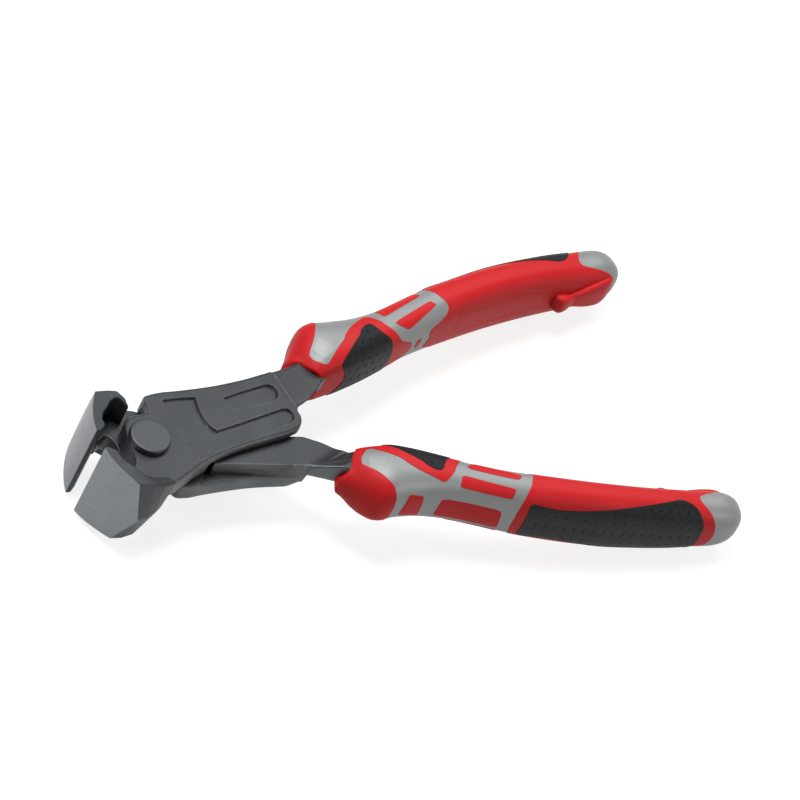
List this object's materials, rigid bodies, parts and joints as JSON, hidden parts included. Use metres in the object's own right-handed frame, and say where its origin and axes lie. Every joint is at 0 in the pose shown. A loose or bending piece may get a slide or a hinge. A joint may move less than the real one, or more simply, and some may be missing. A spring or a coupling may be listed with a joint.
{
  "type": "end cutting nippers",
  "caption": "Hand nippers with wide end-cutting jaws, two forged levers crossing on a rivet, and moulded two-tone grips with dark dimpled pads and lanyard eyes.",
  "frame": {"origin": "on the rivet axis in the lap plane between the two cheeks", "axes": "+Z along the rivet to its upper head, +X from the rivet to the handles, +Y to the handle of the right lever, which has the upper cheek"},
  "size_m": [0.1946, 0.0986, 0.0303],
  "materials": {
    "forged_steel": "dark phosphated forging, ground jaw faces",
    "rivet_steel": "turned, dark",
    "soft_red": "satin",
    "hard_grey": "satin silver-grey",
    "soft_dark": "matt, dimpled"
  },
  "bodies": {
    "right_half": {"right_lever": "forged_steel", "pivot_rivet": "rivet_steel", "right_grip_core": "hard_grey", "right_guard": "soft_red", "right_badges": "hard_grey", "right_finger_pad": "soft_dark", "right_window_inlays": "soft_red", "right_sleeve": "soft_red", "right_palm_pad": "soft_dark", "right_end_cap": "hard_grey", "right_lanyard_eye": "soft_red"},
    "left_half": {"left_lever": "forged_steel", "left_grip_core": "hard_grey", "left_guard": "soft_red", "left_badges": "hard_grey", "left_finger_pad": "soft_dark", "left_window_inlays": "soft_red", "left_sleeve": "soft_red", "left_palm_pad": "soft_dark", "left_end_cap": "hard_grey", "left_lanyard_eye": "soft_red"}
  },
  "joints": [
    {"name": "pivot_hinge", "type": "hinge", "parent": "right_half", "child": "left_half", "pos_m": [0, 0, 0], "axis": [0, 0, 1], "range_deg": [-14, 21.2]}
  ]
}
